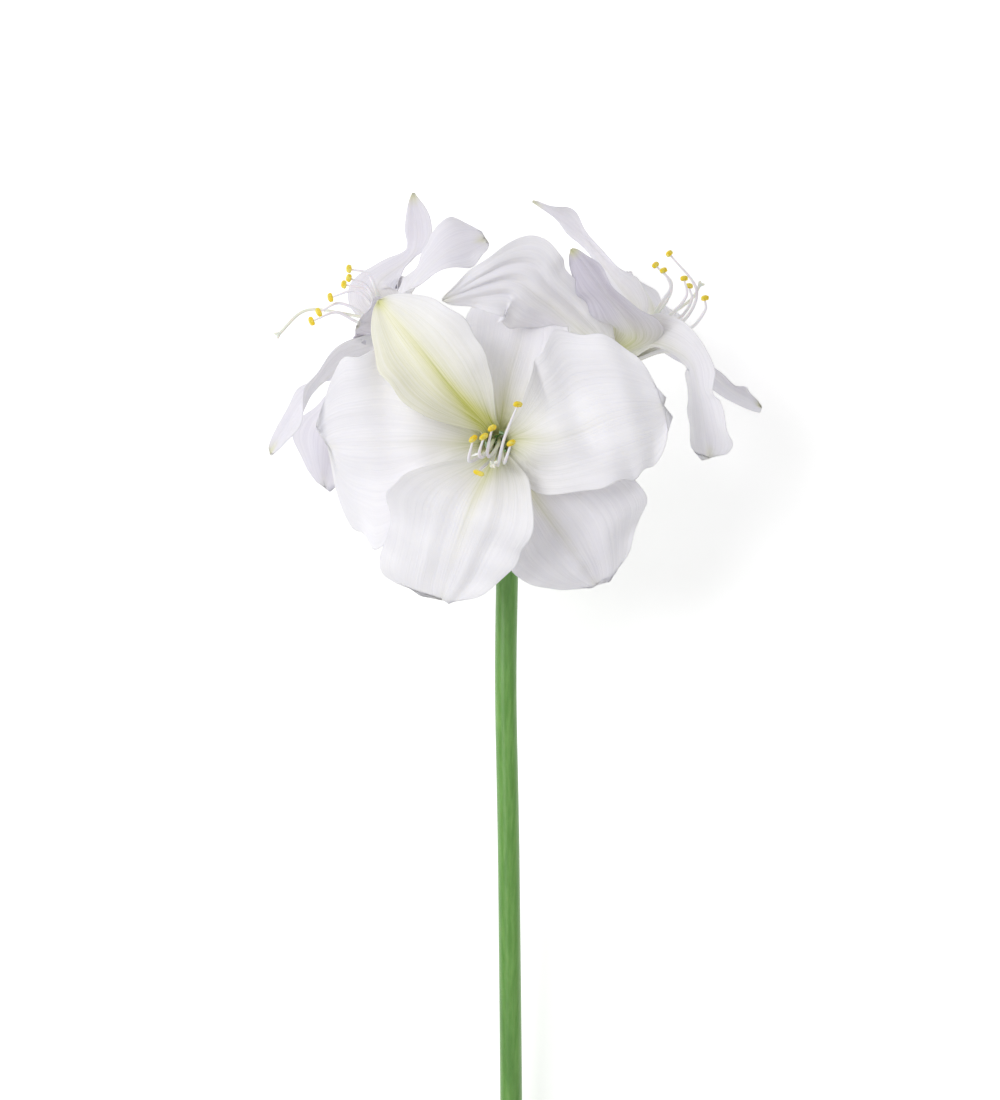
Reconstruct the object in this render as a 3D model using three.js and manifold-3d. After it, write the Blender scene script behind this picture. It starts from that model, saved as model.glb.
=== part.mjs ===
// Cut amaryllis: one leafless green scape that carries three white blooms.
// Lengths are in millimetres, angles in degrees, +Z is up, and the flower lies on its back on a surface.
//
// The flower is drawn upright first (the head frame: x to the right, y up the scape, z out of the
// face of the front bloom) and is laid down at the end.
import * as THREE from 'three';
import { mergeVertices } from 'three/addons/utils/BufferGeometryUtils.js';
import Module from 'manifold-3d';

const wasm = await Module();
wasm.setup();

// ---- Driving dimensions ----------------------------------------------------------------------

const SCAPE_RADIUS = 5.7;
const PEDICEL_RADIUS = 3.6;
const OVARY_LENGTH = 13;
const OVARY_RADIUS = 6;
const OVARY_LOBE = 0.07;          // how far the three lobes swell, as a share of the radius
const TEPAL_THICKNESS = 0.9;
const INNER_TUBE_RADIUS = 4.4;    // ring on which the three inner tepals stand
const OUTER_TUBE_RADIUS = 6.8;    // ring on which the three outer tepals stand
const FILAMENT_RADIUS = 0.75;
const FILAMENT_RING = 2.5;
const STYLE_RADIUS = 0.85;
const ANTHER_LENGTH = 5.6;
const ANTHER_RADIUS = 1.3;
const ANTHER_TILT = 30;           // how far an anther leans from level, in degrees
const STIGMA_RADIUS = 1.5;
const GAP = 0.4;                  // clearance between pieces that touch

const TEPAL_STEPS = 13;           // rows from base to tip
const TEPAL_COLUMNS = 6;          // columns from margin to margin

// The lying pose: how far the head end is propped up by the petals under it,
// and the roll about the scape, in degrees.
const LIE_PITCH = 7.06;
const LIE_ROLL = 0.75;

// The middle line of the scape, from the cut end to the top.
const SCAPE_LINE = [
  [5.7, -421, 0], [5.8, -350, 0], [5.6, -275, 0], [4.3, -150, 0], [2.9, -70, 0], [3.5, -12, 0], [4, 46, 0],
];

// ---- The three blooms ------------------------------------------------------------------------
// A bloom has the point where its tube starts, the way it faces, and the way turn 0 points.
// A tepal has:
//   inner   which whorl it belongs to
//   turn    where it stands on the tube, in degrees round the axis of the bloom
//   line    its midrib after the tube, four points from throat to tip
//   left, right   half widths at seven even steps from base to tip
//   cup     how far the margins curl up towards the inner face, in degrees, at five even steps
//   twist   how far the blade turns about its midrib at the base, the middle and the tip
//   tip     where along the length the margins start to close, and how round the end is
//           (1 is a straight point)
// A filament is four points after its foot on the tube; its anther sits on the last one.

const BLOOMS = {
  front: {
    foot: [-1.5, 53, 20],
    axis: [0, 0, 1],
    zero: [1, 0, 0],
    pedicel: [[4, 38, 0], [3, 45, 0.5], [0, 51, 2], [-1.5, 53, 7.5]],
    tepals: [
      { inner: true, turn: 130, line: [[-8, 62, 50], [-24, 78, 68], [-41, 99, 70], [-60, 122, 62]],
        left: [4, 6, 9, 19, 24, 26, 20], right: [4, 6, 13, 23, 28, 31, 33],
        cup: [60, 56, 29, 20, 20], twist: [0, -4, 0], tip: [0.55, 1.7] },
      { inner: false, turn: 85, line: [[1, 66, 46], [5, 85, 51], [7, 107, 40], [7, 129, 20]],
        left: [6, 6, 15, 22, 25, 28, 28], right: [6, 6, 15, 23, 24, 23, 24],
        cup: [55, 36, 14, 5, 6], twist: [-5, 1, 1], tip: [0.55, 1.7] },
      { inner: true, turn: 13, line: [[9, 54, 49], [26, 54, 65], [56, 65, 68], [82, 71, 60]],
        left: [4, 6, 17, 36, 45, 35, 21], right: [4, 8, 17, 28, 33, 31, 31],
        cup: [60, 56, 25, 7, 10], twist: [-4, 8, 2], tip: [0.7, 1.5] },
      { inner: false, turn: 307, line: [[6, 43, 46], [18, 24, 58], [34, 2, 56], [47, -17, 46]],
        left: [6, 6, 17, 35, 46, 41, 37], right: [6, 6, 9, 19, 29, 25, 19],
        cup: [55, 36, 13, 4, 4], twist: [4, 0, 0], tip: [0.7, 2] },
      { inner: true, turn: 251, line: [[-4, 43, 49], [-12, 24, 74], [-21, 0, 72], [-28, -24, 62]],
        left: [4, 6, 13, 29, 31, 25, 13], right: [4, 6, 14, 34, 38, 34, 38],
        cup: [60, 56, 25, 3, 0], twist: [-8, -13, -1], tip: [0.7, 2] },
      { inner: false, turn: 182, line: [[-13, 52, 44], [-34, 52, 60], [-60, 51, 60], [-85, 51, 51]],
        left: [6, 6, 9, 23, 45, 47, 43], right: [6, 6, 15, 31, 44, 46, 42],
        cup: [55, 36, 14, 6, 2], twist: [-7, 3, 10], tip: [0.8, 2.4] },
    ],
    filaments: [
      [[-5, 49, 52], [-11, 44, 72], [-15, 43, 84], [-13, 52, 92]],
      [[-4, 52, 52], [-8, 45, 76], [-10, 46, 87], [-8, 53, 93]],
      [[-1, 51, 50], [-5, 45, 74], [-6, 48, 86], [-4, 57, 92]],
      [[1, 47, 50], [2, 42, 74], [3, 44, 86], [5, 50, 91]],
      [[-3, 46, 52], [-7, 41, 70], [-9, 39, 82], [-10, 37, 92]],
      [[-1, 46, 48], [-1, 41, 72], [2, 53, 92], [8, 68, 98]],
    ],
    feet: [180, 125, 65, 0, 235, 300],
    style: [[-2, 48.5, 50], [-4, 41.5, 76], [-4, 40, 88], [-3, 41, 97]],
  },
  left: {
    foot: [-37, 100, -6],
    axis: [-0.86, 0.5, -0.12],
    zero: [0.5, 0.86, 0],
    pedicel: [[4, 40, 0], [1, 62, -3], [-9, 82, -5], [-25, 93, -4.3]],
    tepals: [
      { inner: false, turn: 25, line: [[-53, 122, -22], [-62, 134, -23], [-43, 152, -25], [-44, 180, -18]],
        left: [6, 8, 15, 17, 11, 12, 10], right: [6, 8, 16, 18, 9, 16, 17],
        cup: [55, 36, 3, 13, 14], twist: [6, -46, -42], tip: [0.55, 1.7] },
      { inner: true, turn: 330, line: [[-46, 118, 5], [-44, 130, 12], [-29, 146, 16], [-7, 155, 6]],
        left: [4, 7, 11, 16, 18, 17, 14], right: [4, 5, 10, 15, 18, 16, 10],
        cup: [60, 56, 21, 16, 15], twist: [-8, -17, -40], tip: [0.55, 1.7] },
      { inner: false, turn: 270, line: [[-50, 107, 12], [-58, 111, 29], [-65, 112, 44], [-70, 109, 55]],
        left: [6, 7, 9, 11, 13, 13, 12], right: [6, 7, 9, 11, 13, 13, 12],
        cup: [55, 36, 14, 10, 0], twist: [0, 0, 0], tip: [0.55, 1.7] },
      { inner: true, turn: 210, line: [[-55, 95, 13], [-78, 90, 28], [-94, 76, 28], [-114, 48, 20]],
        left: [3, 5, 8, 15, 22, 19, 15], right: [3, 6, 14, 22, 22, 18, 12],
        cup: [60, 56, 22, 10, 16], twist: [-8, 6, 42], tip: [0.55, 1.7] },
      { inner: false, turn: 150, line: [[-57, 96, -21], [-71, 83, -24], [-81, 64, -23], [-89, 32, -21]],
        left: [6, 7, 10, 14, 20, 26, 22], right: [6, 7, 9, 13, 19, 30, 17],
        cup: [55, 36, 5, 8, 4], twist: [-5, 40, 60], tip: [0.55, 1.7] },
      { inner: true, turn: 90, line: [[-58, 105, -26], [-62, 107, -46], [-60, 107, -64], [-50, 105, -71]],
        left: [4, 9, 13, 20, 20, 17, 12], right: [4, 9, 13, 20, 20, 17, 12],
        cup: [60, 56, 28, 8, 0], twist: [0, 0, 0], tip: [0.55, 1.7] },
    ],
    filaments: [
      [[-57, 117, -4], [-62, 130, 0], [-66, 138, 2], [-74, 140, 4]],
      [[-58, 114, 0], [-63, 125, 3], [-67, 132, 5], [-74, 135, 7]],
      [[-58, 111, 1], [-64, 122, 8], [-72, 129, 10], [-83, 126, 10]],
      [[-58, 109, -3], [-69, 118, 4], [-80, 123, 7], [-89, 119, 8]],
      [[-57, 110, -8], [-71, 114, -5], [-82, 119, -3], [-93, 115, -2]],
      [[-57, 116, -10], [-62, 125, -11], [-68, 131, -10], [-77, 133, -8]],
    ],
    feet: [320, 275, 230, 185, 135, 35],
    style: [[-58, 113, -5], [-80, 119, -8], [-98, 120, -7], [-111, 108, -4]],
  },
  right: {
    foot: [60, 98, -5],
    axis: [0.72, 0.69, -0.02],
    zero: [-0.69, 0.72, 0],
    pedicel: [[4, 40, 0], [13, 57, -3], [31, 72, -5], [50, 88.4, -4.8]],
    tepals: [
      { inner: false, turn: 335, line: [[70, 118, -18], [63, 132, -26], [41, 160, -30], [16, 177, -25]],
        left: [6, 8, 12, 16, 13, 14, 13], right: [6, 8, 12, 19, 21, 17, 12],
        cup: [55, 36, 6, 28, 16], twist: [-8, -17, -2], tip: [0.55, 1.7] },
      { inner: true, turn: 30, line: [[44, 105, 30], [22, 121, 58], [2, 131, 66], [-29, 121, 68]],
        left: [3, 5, 12, 19, 26, 16, 12], right: [3, 6, 17, 22, 22, 20, 14],
        cup: [60, 56, 21, 8, -15], twist: [-9, -78, -90], tip: [0.55, 1.7] },
      { inner: false, turn: 75, line: [[67, 105, 26], [61, 116, 48], [49, 129, 61], [35, 146, 62]],
        left: [5, 6, 12, 13, 8, 8, 11], right: [5, 8, 15, 20, 20, 21, 18],
        cup: [55, 36, 2, 15, 20], twist: [-7, -36, -35], tip: [0.55, 1.7] },
      { inner: true, turn: 145, line: [[76, 103, 18], [92, 96, 33], [100, 75, 30], [108, 44, 23]],
        left: [4, 6, 13, 18, 21, 22, 20], right: [4, 6, 12, 16, 17, 22, 20],
        cup: [60, 56, 19, 14, 6], twist: [5, 24, 60], tip: [0.55, 1.7] },
      { inner: false, turn: 205, line: [[83, 100, -18], [98, 97, -28], [119, 81, -30], [132, 73, -20]],
        left: [6, 8, 15, 19, 19, 18, 13], right: [6, 8, 13, 12, 11, 11, 11],
        cup: [55, 36, 7, 8, 14], twist: [7, 22, 25], tip: [0.55, 1.7] },
      { inner: true, turn: 265, line: [[76, 110, -26], [78, 122, -46], [74, 134, -60], [66, 144, -68.4]],
        left: [4, 9, 14, 19, 20, 18, 13], right: [4, 9, 14, 19, 20, 18, 13],
        cup: [60, 56, 28, 8, 0], twist: [0, 0, 0], tip: [0.55, 1.7] },
    ],
    filaments: [
      [[72, 111, 2], [81, 124, 7], [85, 131, 7], [82, 138, 7]],
      [[73, 113, -7], [83, 124, -7], [86, 134, -8], [79, 142, -8]],
      [[74, 109, 5], [87, 119, 6], [93, 127, 6], [92, 134, 6]],
      [[77, 107, -2], [90, 116, -2], [96, 125, -4], [95, 131, -5]],
      [[76, 109, -9], [92, 115, -11], [99, 131, -14], [86, 148, -12]],
      [[77, 106, 3], [94, 110, 5], [102, 119, 8], [102, 124, 9]],
    ],
    feet: [45, 340, 95, 205, 270, 150],
    style: [[75, 110, -3], [88, 120, -14], [97, 127, -19], [101, 134, -20]],
  },
};

// ---- Curves ----------------------------------------------------------------------------------

// Smooth value through even steps; s runs from 0 to 1. Works on numbers and on points.
function along(values, s) {
  const last = values.length - 1;
  const place = Math.min(Math.max(s, 0), 1) * last;
  const i = Math.min(Math.floor(place), last - 1);
  const f = place - i;
  const at = (k, axis) => {
    const pick = (n) => (axis === undefined ? values[n] : values[n][axis]);
    if (k < 0) return 2 * pick(0) - pick(1);
    if (k > last) return 2 * pick(last) - pick(last - 1);
    return pick(k);
  };
  const blend = (axis) => {
    const [a, b, c, d] = [i - 1, i, i + 1, i + 2].map((k) => at(k, axis));
    const bend = 2 * a - 5 * b + 4 * c - d;
    const swing = 3 * b - a - 3 * c + d;
    return 0.5 * (2 * b + (c - a) * f + bend * f ** 2 + swing * f ** 3);
  };
  if (typeof values[0] === 'number') return blend();
  return new THREE.Vector3(blend(0), blend(1), blend(2));
}

const vector = (p) => new THREE.Vector3(...p);
const radians = THREE.MathUtils.degToRad;

// The three directions of a bloom: its axis, turn 0, and turn 90.
function bloomFrame(bloom) {
  const axis = vector(bloom.axis).normalize();
  const zero = vector(bloom.zero);
  zero.addScaledVector(axis, -zero.dot(axis)).normalize();
  const quarter = axis.clone().cross(zero);
  return { axis, zero, quarter };
}

function radial(frame, turn) {
  const angle = radians(turn);
  return frame.zero.clone().multiplyScalar(Math.cos(angle)).addScaledVector(frame.quarter, Math.sin(angle));
}

// ---- Closed solids ---------------------------------------------------------------------------

function solidFromGrid(rows, columns, front, back) {
  // front and back are two matching grids of points; the rim joins them into one closed skin.
  const positions = [];
  [...front, ...back].forEach((p) => positions.push(p.x, p.y, p.z));
  const index = [];
  const quad = (a, b, c, d) => index.push(a, b, c, a, c, d);
  const f = (i, j) => i * columns + j;
  const k = (i, j) => rows * columns + i * columns + j;
  for (let i = 0; i < rows - 1; i++) {
    for (let j = 0; j < columns - 1; j++) {
      quad(f(i, j), f(i, j + 1), f(i + 1, j + 1), f(i + 1, j));
      quad(k(i, j), k(i + 1, j), k(i + 1, j + 1), k(i, j + 1));
    }
  }
  const right = columns - 1;
  for (let i = 0; i < rows - 1; i++) {
    quad(f(i, 0), f(i + 1, 0), k(i + 1, 0), k(i, 0));
    quad(f(i + 1, right), f(i, right), k(i, right), k(i + 1, right));
  }
  const top = rows - 1;
  for (let j = 0; j < columns - 1; j++) {
    quad(f(0, j + 1), f(0, j), k(0, j), k(0, j + 1));
    quad(f(top, j), f(top, j + 1), k(top, j + 1), k(top, j));
  }
  const geometry = new THREE.BufferGeometry();
  geometry.setAttribute('position', new THREE.Float32BufferAttribute(positions, 3));
  geometry.setIndex(index);
  return geometry;
}

// Half width: the table value, closed in towards the tip.
function halfWidth(values, tip, s) {
  const [start, roundness] = tip;
  const x = Math.max(0, (s - start) / (1 - start));
  return Math.max(along(values, s), 3) * Math.max(1 - x ** roundness, 0) ** (1 / roundness);
}

// The middle surface of a tepal: s from base to tip, w from -1 (left margin) to 1 (right margin).
function tepalPoint(bloom, frame, tepal, s, w, grow) {
  const out = radial(frame, tepal.turn);
  const ring = tepal.inner ? INNER_TUBE_RADIUS : OUTER_TUBE_RADIUS;
  const foot = vector(bloom.foot).addScaledVector(out, ring);
  const line = [foot.toArray(), ...tepal.line];
  const middle = along(line, s);
  const step = 0.001;
  const tangent = along(line, Math.min(s + step, 1)).sub(along(line, Math.max(s - step, 0))).normalize();
  let side = out.clone().cross(frame.axis);
  side.addScaledVector(tangent, -side.dot(tangent)).normalize();
  const face0 = side.clone().cross(tangent);
  const twist = radians(along(tepal.twist, s));
  const face = face0.clone().multiplyScalar(Math.cos(twist)).addScaledVector(side, -Math.sin(twist));
  side = side.multiplyScalar(Math.cos(twist)).addScaledVector(face0, Math.sin(twist));
  const half = Math.max(halfWidth(w < 0 ? tepal.left : tepal.right, tepal.tip, s), 0.8) + grow;
  let cup = radians(along(tepal.cup, s));
  if (Math.abs(cup) < 0.001) cup = 0.001;
  const reach = Math.abs(w);
  const across = (half * Math.sin(cup * reach)) / cup * Math.sign(w);
  const lift = (half * (1 - Math.cos(cup * reach))) / cup;
  return middle.addScaledVector(side, across).addScaledVector(face, lift);
}

// A tepal as a closed solid; grow makes it fatter all round.
function tepalGeometry(bloom, frame, tepal, grow = 0) {
  const rows = TEPAL_STEPS + 1;
  const columns = TEPAL_COLUMNS + 1;
  const front = [];
  const back = [];
  for (let i = 0; i < rows; i++) {
    for (let j = 0; j < columns; j++) {
      const s = i / TEPAL_STEPS;
      const w = (2 * j) / TEPAL_COLUMNS - 1;
      const at = (u, v) => tepalPoint(bloom, frame, tepal, u, v, grow);
      const e = 0.01;
      const ds = at(Math.min(s + e, 1), w).sub(at(Math.max(s - e, 0), w));
      const dw = at(s, Math.min(w + e, 1)).sub(at(s, Math.max(w - e, -1)));
      const offset = dw.cross(ds).normalize().multiplyScalar(TEPAL_THICKNESS / 2 + grow);
      const here = at(s, w);
      if (i === 0) here.addScaledVector(ds.normalize(), -grow);
      front.push(here.clone().add(offset));
      back.push(here.clone().sub(offset));
    }
  }
  return solidFromGrid(rows, columns, front, back);
}

function rod(points, radius, sides, steps) {
  const shape = new THREE.Shape();
  shape.absarc(0, 0, radius, 0, Math.PI * 2, false);
  const extrudePath = new THREE.CatmullRomCurve3(points.map(vector));
  const curveSegments = sides / 2;
  return new THREE.ExtrudeGeometry(shape, { steps, curveSegments, bevelEnabled: false, extrudePath });
}

// A turned body along +Y, from a list of [radius, height] that starts and ends on the axis.
function turned(profile, sides) {
  return new THREE.LatheGeometry(profile.map(([r, y]) => new THREE.Vector2(r, y)), sides);
}

function pointAlong(geometry, direction, position) {
  const up = new THREE.Vector3(0, 1, 0);
  const turn = new THREE.Quaternion().setFromUnitVectors(up, direction.clone().normalize());
  geometry.applyQuaternion(turn);
  geometry.translate(position.x, position.y, position.z);
  return geometry;
}

function welded(geometry) {
  const bare = new THREE.BufferGeometry();
  bare.setAttribute('position', geometry.getAttribute('position').clone());
  if (geometry.index) bare.setIndex(geometry.index.clone());
  return mergeVertices(bare, 1e-4);
}

function toManifold(geometry) {
  const bare = welded(geometry);
  return new wasm.Manifold(new wasm.Mesh({
    numProp: 3,
    vertProperties: new Float32Array(bare.getAttribute('position').array),
    triVerts: new Uint32Array(bare.index.array),
  }));
}

function fromManifold(solid) {
  const mesh = solid.getMesh();
  const geometry = new THREE.BufferGeometry();
  geometry.setAttribute('position', new THREE.BufferAttribute(new Float32Array(mesh.vertProperties), 3));
  geometry.setIndex(new THREE.BufferAttribute(new Uint32Array(mesh.triVerts), 1));
  return geometry;
}

// ---- The pieces ------------------------------------------------------------------------------

const COLOURS = { tepal: 0xf3f3ee, filament: 0xeef3dd, anther: 0xf2bf1d, style: 0xe9f0cf, scape: 0x6fa14a };
const upright = new THREE.Group();

function add(name, kind, geometry) {
  const material = new THREE.MeshStandardMaterial({ color: COLOURS[kind], roughness: 0.6 });
  const piece = new THREE.Mesh(welded(geometry), material);
  piece.name = name;
  upright.add(piece);
}

function ovary(bloom, frame) {
  const profile = [[0, -1]];
  const steps = 7;
  for (let i = 0; i <= steps; i++) {
    const s = i / steps;
    const neck = PEDICEL_RADIUS - 0.4;
    const swell = neck + (OVARY_RADIUS - neck) * Math.sin(Math.PI * 0.62 * s) ** 0.8;
    profile.push([swell, s * OVARY_LENGTH]);
  }
  profile.push([0, OVARY_LENGTH]);
  const body = turned(profile, 18);
  const position = body.getAttribute('position');
  for (let i = 0; i < position.count; i++) {
    const lobe = 1 + OVARY_LOBE * Math.cos(3 * Math.atan2(position.getZ(i), position.getX(i)));
    position.setX(i, position.getX(i) * lobe);
    position.setZ(i, position.getZ(i) * lobe);
  }
  const start = vector(bloom.foot).addScaledVector(frame.axis, -OVARY_LENGTH - 3 * GAP);
  return pointAlong(body, frame.axis, start);
}

function scape() {
  let body = toManifold(rod(SCAPE_LINE, SCAPE_RADIUS, 18, 26));
  const crown = turned([[0, -6], [SCAPE_RADIUS, -5], [SCAPE_RADIUS - 0.4, 1], [4, 3.6], [0, 4.6]], 18);
  body = body.add(toManifold(pointAlong(crown, new THREE.Vector3(0, 1, 0), vector(SCAPE_LINE.at(-1)))));
  for (const bloom of Object.values(BLOOMS)) {
    body = body.add(toManifold(rod(bloom.pedicel, PEDICEL_RADIUS, 10, 10)));
    body = body.add(toManifold(ovary(bloom, bloomFrame(bloom))));
  }
  return fromManifold(body);
}

// The foot of a filament or of the style inside the tube.
function footInTube(bloom, frame, turn, ring) {
  const foot = vector(bloom.foot).addScaledVector(radial(frame, turn), ring);
  return foot.addScaledVector(frame.axis, 2).toArray();
}

function anther(points) {
  const tip = vector(points.at(-1));
  const growth = tip.clone().sub(vector(points.at(-2))).normalize();
  const across = growth.clone().cross(new THREE.Vector3(0.35, 0.2, 0.9)).normalize();
  across.applyAxisAngle(growth, radians(ANTHER_TILT));
  const half = ANTHER_LENGTH / 2;
  const body = turned([
    [0, -half], [ANTHER_RADIUS * 0.8, -half * 0.7], [ANTHER_RADIUS, -half * 0.2],
    [ANTHER_RADIUS, half * 0.3], [ANTHER_RADIUS * 0.75, half * 0.75], [0, half],
  ], 8);
  const centre = tip.addScaledVector(growth, ANTHER_RADIUS + GAP);
  return pointAlong(body, across, centre);
}

function styleWithStigma(points) {
  let body = toManifold(rod(points, STYLE_RADIUS, 6, 12));
  const tip = vector(points.at(-1));
  const growth = tip.clone().sub(vector(points.at(-2))).normalize();
  const aside = growth.clone().cross(new THREE.Vector3(0.2, 0.3, 0.9)).normalize();
  for (let lobe = 0; lobe < 3; lobe++) {
    const out = aside.clone().applyAxisAngle(growth, (lobe * 2 * Math.PI) / 3);
    const bead = turned([[0, -1], [STIGMA_RADIUS * 0.6, -0.3], [STIGMA_RADIUS * 0.5, 1.2], [0, 2.2]], 6);
    const lean = growth.clone().addScaledVector(out, 0.9);
    const place = tip.clone().addScaledVector(growth, -0.3).addScaledVector(out, 0.5);
    body = body.add(toManifold(pointAlong(bead, lean, place)));
  }
  return fromManifold(body);
}

// Where two tepals press on each other in the throat, the first is cut back to clear the second.
const CLEARED = [
  ['front', 2, 'right', 2], ['left', 2, 'left', 1], ['left', 6, 'left', 1], ['left', 2, 'left', 3],
  ['left', 4, 'left', 3], ['left', 4, 'left', 5], ['right', 2, 'right', 3], ['right', 4, 'right', 3],
  ['right', 4, 'right', 5], ['right', 1, 'right', 6],
];

function solidTepal(name, number, grow) {
  const bloom = BLOOMS[name];
  return toManifold(tepalGeometry(bloom, bloomFrame(bloom), bloom.tepals[number - 1], grow));
}

function clearedTepal(name, number) {
  let body = solidTepal(name, number, 0);
  for (const [bloom, n, otherBloom, otherNumber] of CLEARED) {
    if (bloom === name && n === number) body = body.subtract(solidTepal(otherBloom, otherNumber, GAP));
  }
  const pieces = body.decompose();
  pieces.sort((a, b) => b.volume() - a.volume());
  return fromManifold(pieces[0]);
}

add('scape', 'scape', scape());
for (const [name, bloom] of Object.entries(BLOOMS)) {
  const frame = bloomFrame(bloom);
  bloom.tepals.forEach((tepal, n) => {
    add(`${name}_tepal_${n + 1}`, 'tepal', clearedTepal(name, n + 1));
  });
  bloom.filaments.forEach((points, n) => {
    const line = [footInTube(bloom, frame, bloom.feet[n], FILAMENT_RING), ...points];
    add(`${name}_filament_${n + 1}`, 'filament', rod(line, FILAMENT_RADIUS, 6, 11));
    add(`${name}_anther_${n + 1}`, 'anther', anther(line));
  });
  add(`${name}_style`, 'style', styleWithStigma([footInTube(bloom, frame, 0, 0), ...bloom.style]));
}

// ---- Laid down, with the middle of the footprint at the origin ---------------------------------

const flower = new THREE.Group();
flower.name = 'amaryllis_flower';
const lie = new THREE.Matrix4().makeRotationX(radians(LIE_PITCH))
  .multiply(new THREE.Matrix4().makeRotationY(radians(LIE_ROLL)));
upright.children.forEach((piece) => piece.geometry.applyMatrix4(lie));
const box = new THREE.Box3().setFromObject(upright);
const centre = box.getCenter(new THREE.Vector3());
for (const piece of [...upright.children]) {
  piece.geometry.translate(-centre.x, -centre.y, -box.min.z);
  flower.add(piece);
}

export default flower;
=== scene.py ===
"""Cut amaryllis: one leafless green scape with three white blooms, lying on its back."""
import math

import bmesh
import bpy
import numpy as np
from mathutils import Matrix, Vector


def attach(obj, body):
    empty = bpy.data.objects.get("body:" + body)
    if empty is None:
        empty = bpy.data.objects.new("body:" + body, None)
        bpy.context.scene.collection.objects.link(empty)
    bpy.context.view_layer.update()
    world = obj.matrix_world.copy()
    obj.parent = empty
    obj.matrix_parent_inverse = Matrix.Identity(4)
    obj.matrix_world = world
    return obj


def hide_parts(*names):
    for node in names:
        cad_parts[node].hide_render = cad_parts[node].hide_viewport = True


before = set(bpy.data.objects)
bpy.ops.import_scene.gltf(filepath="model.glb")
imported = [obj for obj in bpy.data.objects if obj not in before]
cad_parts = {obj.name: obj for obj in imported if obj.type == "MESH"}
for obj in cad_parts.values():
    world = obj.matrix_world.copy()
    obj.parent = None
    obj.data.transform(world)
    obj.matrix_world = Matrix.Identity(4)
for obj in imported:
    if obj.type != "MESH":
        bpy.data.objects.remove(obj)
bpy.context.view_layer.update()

# ---- The flower, upright, in millimetres and degrees ----------------------------------------
# A bloom has the point where its tube starts, the way it faces and the way turn 0 points.
# A petal has its midrib (four points after its foot), half widths at even steps from base to tip,
# how far its margins curl up (cup), how far it turns about its midrib (twist), where its margins
# start to close and how round its end is (tip), its ruffle (height, number of waves, phase),
# its folds (place across, height, breadth, where it starts and ends), its creases (place along,
# height, breadth, place across, length), the lobes of its end (place across, length, breadth)
# and its tints.
# A petal's shade tint is painted shade: a lavender grey laid on petals that lie in shadow.

SCAPE_LINE = [
    (5.7, -421, 0), (5.8, -350, 0), (5.6, -275, 0), (4.3, -150, 0),
    (2.9, -70, 0), (3.5, -12, 0), (4, 46, 0), (4, 49, 0),
]

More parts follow.
